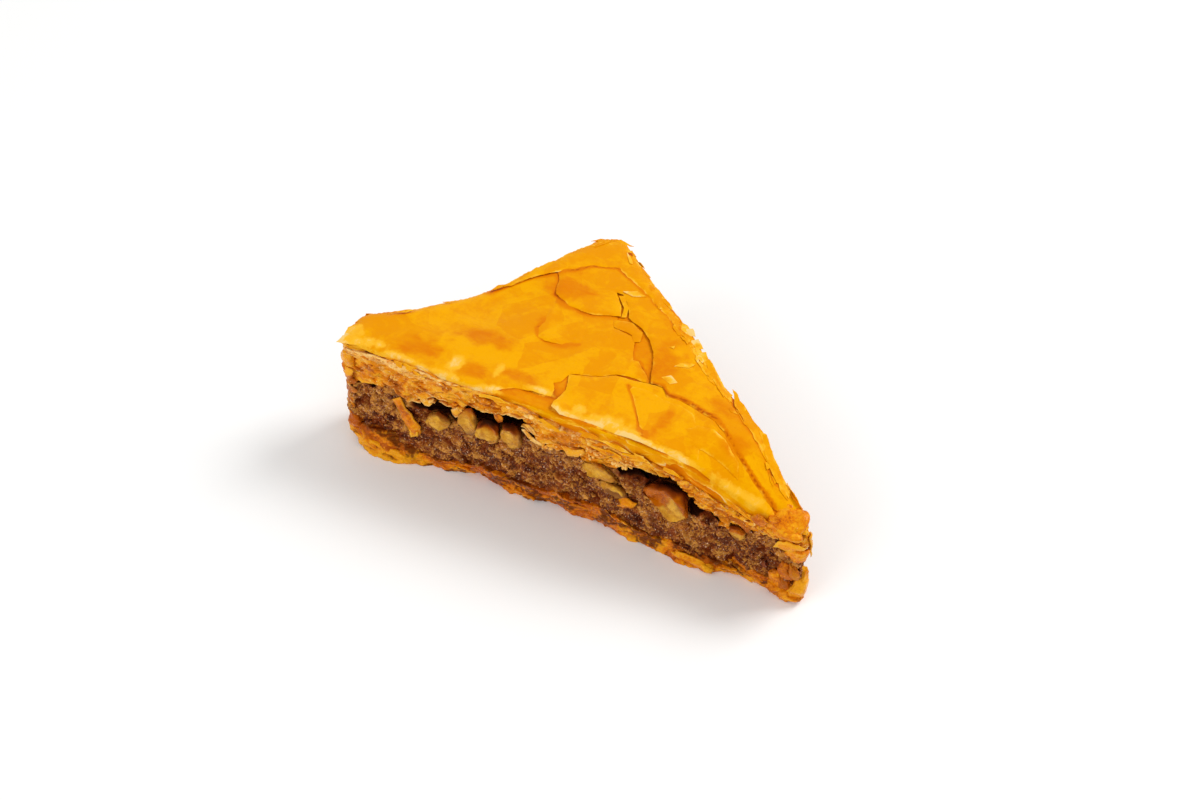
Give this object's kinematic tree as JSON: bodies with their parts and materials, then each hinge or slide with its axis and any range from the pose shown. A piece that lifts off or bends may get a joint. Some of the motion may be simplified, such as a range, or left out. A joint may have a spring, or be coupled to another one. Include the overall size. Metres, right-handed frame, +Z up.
{
  "type": "baklava piece",
  "caption": "Triangular baklava piece with a crisp filo crust, a ground walnut filling and a syrup-soaked filo base, for a plate or tray.",
  "frame": {"origin": "centre of the piece's bounding box at its underside, on the surface that it stands on", "axes": "+X along the long cut face towards the thin right tip, +Y from the long cut face towards the back corner, +Z up"},
  "size_m": [0.09, 0.0472, 0.0258],
  "materials": {
    "crisp_leaves": "golden yellow baked filo leaves, dry and crisp on top with a soft butter sheen, cream at broken edges, tan and syrup-soaked below",
    "ground_walnut": "moist ground walnut in spiced syrup, crumbly, purple-brown with paler grains",
    "walnut": "pale cream-tan broken walnut with brown papery skin on some sides, wetted by syrup",
    "base_leaves": "amber filo leaves soaked in syrup, glossy and slightly translucent at the edges"
  },
  "bodies": {
    "root": {"filo_base": "base_leaves", "walnut_filling": "ground_walnut", "filo_crust": "crisp_leaves", "walnut_piece_01": "walnut", "walnut_piece_02": "walnut", "walnut_piece_03": "walnut", "walnut_piece_04": "walnut", "walnut_piece_05": "walnut", "walnut_piece_06": "walnut", "walnut_piece_07": "walnut", "walnut_piece_08": "walnut", "walnut_piece_09": "walnut", "walnut_piece_10": "walnut", "walnut_piece_11": "walnut", "walnut_piece_12": "walnut", "walnut_piece_13": "walnut"}
  },
  "joints": []
}
